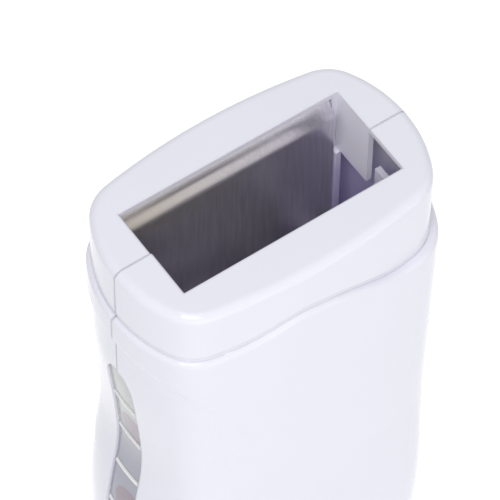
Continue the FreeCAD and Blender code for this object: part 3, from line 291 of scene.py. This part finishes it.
def case_plastic():
    """Glossy white moulded plastic with a cool tint and softened edges."""
    material = finish("case_plastic", ((0.838, 0.834, 0.915), (0.852, 0.848, 0.928)), rough=(0.09, 0.14),
                      scale=700.0, bump=0.012, depth=0.02 * MM,
                      sockets={"IOR": 1.38, "Coat Weight": 0.08, "Coat Roughness": 0.05})
    tree = material.node_tree
    soft_edges = add_node(tree, "ShaderNodeBevel", {"samples": EDGE_SAMPLES}, {"Radius": EDGE_SOFTNESS})
    feed(tree, tree.nodes["Bump"].inputs["Normal"], soft_edges.outputs["Normal"])
    return material


def inner_shaded_plastic():
    """The same plastic inside the case, unpolished, with a painted violet shade that deepens further down.
    """
    material, tree, shader, _ = grained("inner_shaded_plastic", rough=(0.34, 0.46), scale=1400.0,
                                        bump=0.05, depth=0.03 * MM, sockets={"IOR": 1.46})
    # Painted shade: darker and more violet towards the foot of the chamber
    rise = between(tree, coordinates(tree)["Z"], SHADE_DEEP, SHADE_TOP)
    feed(tree, shader.inputs["Base Color"], tone_ramp(tree, rise, ((0.70, 0.64, 0.94), (0.92, 0.905, 1.0))))
    return material


def brushed_liner():
    """Anodised aluminium sheet with faint upright brush lines, and a painted warm reflection at the left end
    of its lip.
    """
    material, tree, shader, _ = grained("brushed_liner", rough=(0.15, 0.18), scale=2600.0,
                                        stretch=(1.0, 1.0, 0.05), bump=0.0,
                                        sockets={"Metallic": 0.82, "Anisotropic": 0.95})
    streaks = add_grain(tree, scale=1700.0, stretch=(1.0, 1.0, 0.06), rough=(0.0, 1.0))
    tone = tone_ramp(tree, streaks["Height"], ((0.715, 0.695, 0.755), (0.850, 0.825, 0.880)))
    point = coordinates(tree)
    # Painted warm reflection across the left end of the lip
    lip = maths(tree, "MULTIPLY", between(tree, point["Z"], LIP_FOOT, LIP_TOP),
                between(tree, point["X"], LIP_RIGHT, LIP_LEFT))
    feed(tree, shader.inputs["Base Color"], over(tree, lip, tone, LIP_REFLECTION_TONE))
    along = add_node(tree, "ShaderNodeTangent", {"direction_type": "RADIAL", "axis": "Z"})
    feed(tree, shader.inputs["Tangent"], along.outputs["Tangent"])
    return material


def clear_window():
    """Half-clear moulded plastic with painted shade: darker and cooler towards its foot, and two round dark
    spots where the chamber behind shows through holes.
    """
    material, tree, shader, _ = grained("clear_window", rough=(0.02, 0.06), scale=500.0,
                                        bump=0.03, depth=0.03 * MM,
                                        sockets={"Transmission Weight": 0.30, "IOR": 1.45})
    point = coordinates(tree)
    # Painted shade: darker and bluer towards the foot
    rise = between(tree, point["Z"], WINDOW_FOOT, WINDOW_HEAD)
    colour = tone_ramp(tree, rise, ((0.52, 0.53, 0.62), (0.64, 0.67, 0.65)))
    # Painted shade: round dark spots where the shaded chamber shows through holes
    for middle in SHADED_SIGHT_HOLES:
        distance = far_from(tree, point["Y"], point["Z"], middle)
        mask = between(tree, distance, SPOT_RADIUS + SPOT_BLUR, SPOT_RADIUS - SPOT_BLUR)
        colour = over(tree, mask, colour, HOLE_SHADE_TONE)
    feed(tree, shader.inputs["Base Color"], colour)
    return material


def pale_bar_highlight():
    """The window's level bars, rough and painted pale: a painted highlight for the light that their raised
    edges catch.
    """
    return finish("pale_bar_highlight", ((0.86, 0.86, 0.85), (0.92, 0.92, 0.90)), rough=(0.35, 0.5), scale=1500.0)


def switch_marks(tree):
    """Mask of the two plain marks on the rocker: a bar for on, a ring for off."""
    point = coordinates(tree)
    rise = maths(tree, "SUBTRACT", point["Z"], SWITCH_Z + MARK_OFFSET)
    thin = maths(tree, "LESS_THAN", maths(tree, "ABSOLUTE", point["X"]), MARK_LINE / 2)
    short = maths(tree, "LESS_THAN", maths(tree, "ABSOLUTE", rise), MARK_RADIUS)
    bar = maths(tree, "MULTIPLY", thin, short)
    distance = far_from(tree, point["X"], point["Z"], (0.0, SWITCH_Z - MARK_OFFSET))
    off_ring = maths(tree, "ABSOLUTE", maths(tree, "SUBTRACT", distance, MARK_RADIUS))
    ring = maths(tree, "LESS_THAN", off_ring, MARK_LINE / 2)
    return maths(tree, "ADD", bar, ring)


def rocker_plastic():
    """Black plastic with the two marks printed in white."""
    material, tree, shader, grain = grained("rocker_plastic", rough=(0.16, 0.27), scale=2200.0,
                                            bump=0.06, depth=0.03 * MM)
    black = tone_ramp(tree, grain["Mask"], ((0.014, 0.014, 0.016), (0.022, 0.022, 0.025)))
    feed(tree, shader.inputs["Base Color"], over(tree, switch_marks(tree), black, MARK_TONE))
    return material


def mica_sheet():
    """Pressed mica with pale flakes."""
    material, tree, shader, _ = grained("mica_sheet", rough=(0.35, 0.6), scale=1200.0, bump=0.0)
    flakes = add_node(tree, "ShaderNodeTexVoronoi", inputs={"Vector": surface_point(tree), "Scale": 420.0})
    tone = tone_ramp(tree, flakes.outputs["Color"], ((0.50, 0.41, 0.27), (0.74, 0.66, 0.50)))
    feed(tree, shader.inputs["Base Color"], tone)
    add_bump(tree, shader, flakes.outputs["Distance"], strength=0.2, depth=0.05 * MM)
    return material


def metals():
    """The bare metals, each drawn along one axis."""
    bare = {"Metallic": 1.0}
    return {
        "steel": finish("zinc_steel", ((0.50, 0.50, 0.52), (0.62, 0.62, 0.63)), rough=(0.26, 0.42),
                        scale=1800.0, stretch=(1.0, 1.0, 0.04), sockets=bare),
        "aluminium": finish("drawn_aluminium", ((0.66, 0.66, 0.67), (0.76, 0.76, 0.77)), rough=(0.25, 0.45),
                            scale=1600.0, stretch=(0.05, 1.0, 1.0), sockets=bare),
        "contacts": finish("stamped_brass", ((0.66, 0.47, 0.20), (0.78, 0.58, 0.28)), rough=(0.22, 0.40),
                           scale=1500.0, stretch=(0.06, 1.0, 1.0), sockets=bare),
        "fuse": finish("fuse_can", ((0.58, 0.59, 0.62), (0.70, 0.71, 0.73)), rough=(0.2, 0.36),
                       scale=1500.0, stretch=(0.06, 1.0, 1.0), sockets=bare),
    }


def plain_plastics():
    """The plastics, rubber and ceramic with no pattern of their own."""
    return {
        "rubber": finish("foot_rubber", ((0.028, 0.028, 0.030), (0.045, 0.045, 0.048)), rough=(0.62, 0.85),
                         scale=1500.0, bump=0.3),
        "cradle": finish("cradle_plastic", ((0.83, 0.82, 0.88), (0.87, 0.86, 0.91)), rough=(0.42, 0.58),
                         scale=1600.0, bump=0.15),
        "film": finish("amber_film", ((0.50, 0.24, 0.04), (0.62, 0.32, 0.07)), rough=(0.12, 0.26),
                       scale=700.0),
        "ceramic": finish("fired_ceramic", ((0.20, 0.19, 0.18), (0.30, 0.29, 0.27)), rough=(0.55, 0.8),
                          scale=1300.0, bump=0.3),
        "switch": finish("black_plastic", ((0.016, 0.016, 0.018), (0.026, 0.026, 0.029)), rough=(0.38, 0.52),
                         scale=2200.0, bump=0.18),
        "lens": finish("lens_red", ((0.42, 0.018, 0.014), (0.52, 0.03, 0.02)), rough=(0.05, 0.12),
                       scale=900.0, bump=0.04, sockets={"Transmission Weight": 0.5}),
        "led": finish("lamp_resin", ((0.48, 0.05, 0.04), (0.58, 0.08, 0.06)), rough=(0.08, 0.16),
                      scale=900.0, bump=0.04, sockets={"Transmission Weight": 0.4}),
        "board": finish("board_green", ((0.012, 0.10, 0.040), (0.022, 0.14, 0.060)), rough=(0.25, 0.4),
                        scale=1200.0, stretch=(1.0, 1.0, 0.1)),
        "lead_brown": finish("lead_brown", ((0.10, 0.045, 0.022), (0.14, 0.065, 0.034)), rough=(0.35, 0.5),
                             scale=1800.0),
        "lead_white": finish("lead_white", ((0.64, 0.64, 0.61), (0.76, 0.76, 0.73)), rough=(0.55, 0.75),
                             scale=2600.0, bump=0.4),
        "lead_blue": finish("lead_blue", ((0.022, 0.055, 0.24), (0.035, 0.08, 0.32)), rough=(0.35, 0.5),
                            scale=1800.0),
    }


def all_materials():
    """Every finish, by the record's slot."""
    made = {
        "case": case_plastic(),
        "window": clear_window(),
        "liner": brushed_liner(),
        "mica": mica_sheet(),
        "rocker": rocker_plastic(),
    }
    return {**made, **metals(), **plain_plastics()}


MATERIALS = all_materials()
INNER_SHADED_PLASTIC = inner_shaded_plastic()
BAR_HIGHLIGHT = pale_bar_highlight()


# Pieces

def deselect_all():
    """Nothing selected, because operators act on all that is."""
    bpy.ops.object.select_all(action="DESELECT")


def make_active(piece):
    """The piece alone selected and active."""
    deselect_all()
    piece.select_set(True)
    bpy.context.view_layer.objects.active = piece


def dress(piece, slot):
    """The slot's finish on every face of a piece."""
    piece.data.materials.clear()
    piece.data.materials.append(MATERIALS[slot])


def smooth_copy(node, slot, body):
    """Copy of a CAD node with its triangles merged and its round faces shaded smooth."""
    piece = frame["nodes"][node].copy()
    piece.data = piece.data.copy()
    piece.name = node + "_skin"
    bpy.context.collection.objects.link(piece)
    make_active(piece)
    bpy.ops.object.mode_set(mode="EDIT")
    bpy.ops.mesh.select_all(action="SELECT")
    bpy.ops.mesh.remove_doubles(threshold=MERGE_DISTANCE)
    bpy.ops.object.mode_set(mode="OBJECT")
    bpy.ops.mesh.customdata_custom_splitnormals_clear()
    bpy.ops.object.shade_smooth_by_angle(angle=math.radians(SMOOTH_ANGLE))
    level = piece.modifiers.new("level_normals", "WEIGHTED_NORMAL")
    level.keep_sharp = True
    bpy.ops.object.modifier_apply(modifier=level.name)
    dress(piece, slot)
    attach(piece, body)
    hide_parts(node)
    return piece


def make_pieces():
    """Every CAD node as a smooth piece with its finish."""
    slots = {entry["node"]: entry["material_slot"] for entry in frame["record"]["subparts"]}
    bodies = frame["record"]["behaviour"]["bodies"]
    pieces = {}
    for body, nodes in bodies.items():
        for node in nodes:
            pieces[node] = smooth_copy(node, slots[node], body)
    return pieces


def mark_faces(piece, material, wanted):
    """A second finish on the faces of a piece that a test picks."""
    piece.data.materials.append(material)
    for face in piece.data.polygons:
        if wanted(face):
            face.material_index = 1


def paint_inside_shade(shells):
    """Painted shade on the shells: the inner finish, tinted as shade, on the faces that look at another wall
    across the chamber.
    """
    def looks_inward(face):
        slot_wall = face.center.x < WINDOW_WALL_X and abs(face.normal.x) < SLOT_WALL_TILT
        if slot_wall or face.center.z < CHAMBER_FLOOR:
            return False
        start = face.center + face.normal * SEAM_ROOM
        hits = [shell.ray_cast(start, face.normal) for shell in shells]
        rooms = [(place - start).length for found, place, _, _ in hits if found]
        return bool(rooms) and min(rooms) > GROOVE_ROOM

    for shell in shells:
        # Painted shade on every face deep in the chamber
        mark_faces(shell, INNER_SHADED_PLASTIC, looks_inward)


def paint_bar_highlights(window):
    """The pale finish, a painted highlight, on the raised level bars of the window."""
    def on_a_bar(face):
        return any(abs(face.center.z - level) < BAR_HALF for level in BAR_LEVELS)

    # Painted highlight on the bars
    mark_faces(window, BAR_HIGHLIGHT, on_a_bar)


PIECES = make_pieces()
paint_inside_shade([PIECES["front_shell"], PIECES["rear_shell"]])
paint_bar_highlights(PIECES["level_window"])


# Stage

def seen_directly(tree):
    """One for what the camera sees, straight, in a mirror or through glass."""
    ray = add_node(tree, "ShaderNodeLightPath").outputs
    mirrored = maths(tree, "MAXIMUM", ray["Is Camera Ray"], ray["Is Glossy Ray"])
    return maths(tree, "MAXIMUM", mirrored, ray["Is Transmission Ray"])


def floor_material():
    """Pale floor that glows to the camera alone, so that it shows white but keeps the shadow."""
    material, tree, shader = new_material("floor_white")
    feed(tree, shader.inputs["Base Color"], (*FLOOR_COLOUR, 1.0))
    feed(tree, shader.inputs["Roughness"], FLOOR_ROUGHNESS)
    glow = add_node(tree, "ShaderNodeEmission", inputs={"Color": (*WHITE, 1.0), "Strength": FLOOR_GLOW})
    dark = add_node(tree, "ShaderNodeEmission", inputs={"Strength": 0.0})
    choice = add_node(tree, "ShaderNodeMixShader", inputs={
        "Fac": seen_directly(tree), 1: dark.outputs["Emission"], 2: glow.outputs["Emission"]})
    both = add_node(tree, "ShaderNodeAddShader", inputs={0: shader.outputs["BSDF"], 1: choice.outputs[0]})
    feed(tree, tree.nodes["Material Output"].inputs["Surface"], both.outputs[0])
    return material


def make_floor():
    """The plane that the part stands on."""
    deselect_all()
    bpy.ops.mesh.primitive_plane_add(size=FLOOR_SIZE, location=(0.0, 0.0, 0.0))
    floor = bpy.context.active_object
    floor.name = "floor"
    floor.data.materials.append(floor_material())


def make_world():
    """White surroundings that light the object and fill the background."""
    world = bpy.data.worlds.new("studio")
    bpy.context.scene.world = world
    world.use_nodes = True
    tree = world.node_tree
    light = tree.nodes["Background"]
    feed(tree, light.inputs["Color"], (*WORLD_COLOUR, 1.0))
    feed(tree, light.inputs["Strength"], WORLD_STRENGTH)
    seen = add_node(tree, "ShaderNodeBackground", inputs={"Color": (*WHITE, 1.0)})
    mix = add_node(tree, "ShaderNodeMixShader", inputs={
        "Fac": seen_directly(tree), 1: light.outputs["Background"], 2: seen.outputs["Background"]})
    feed(tree, tree.nodes["World Output"].inputs["Surface"], mix.outputs[0])


def area_light(name, place, width, height, watts):
    """Soft lamp with a flat face, turned to the lamps' aim."""
    lamp = bpy.data.lights.new(name, "AREA")
    lamp.shape = "RECTANGLE"
    lamp.size = width
    lamp.size_y = height
    lamp.energy = watts
    holder = bpy.data.objects.new(name, lamp)
    bpy.context.collection.objects.link(holder)
    holder.location = place
    holder.rotation_euler = (Vector(LAMP_AIM) - Vector(place)).to_track_quat("-Z", "Y").to_euler()


def make_lights():
    """Every lamp on the list."""
    for name, place, width, height, watts in LAMPS:
        area_light(name, place, width, height, watts)


def make_camera():
    """The photograph's camera."""
    azimuth = math.radians(CAMERA_AZIMUTH)
    elevation = math.radians(CAMERA_ELEVATION)
    roll = math.radians(CAMERA_ROLL)
    back = Vector((math.sin(azimuth) * math.cos(elevation), -math.cos(azimuth) * math.cos(elevation),
                   math.sin(elevation)))
    level = Vector((math.cos(azimuth), math.sin(azimuth), 0.0))
    upward = back.cross(level)
    right = level * math.cos(roll) + upward * math.sin(roll)
    up = upward * math.cos(roll) - level * math.sin(roll)
    mouth = Vector((0.0, 0.0, HEIGHT))
    eye = mouth + back * CAMERA_DISTANCE - right * CAMERA_RIGHT - up * CAMERA_UP
    camera = bpy.data.objects.new("camera", bpy.data.cameras.new("camera"))
    bpy.context.collection.objects.link(camera)
    camera.data.lens = CAMERA_LENS
    camera.data.sensor_width = CAMERA_SENSOR
    turn = Matrix((right, up, back)).transposed().to_4x4()
    camera.matrix_world = Matrix.Translation(eye) @ turn
    bpy.context.scene.camera = camera


make_floor()
make_world()
make_lights()
make_camera()
bpy.context.scene.view_settings.view_transform = "Standard"
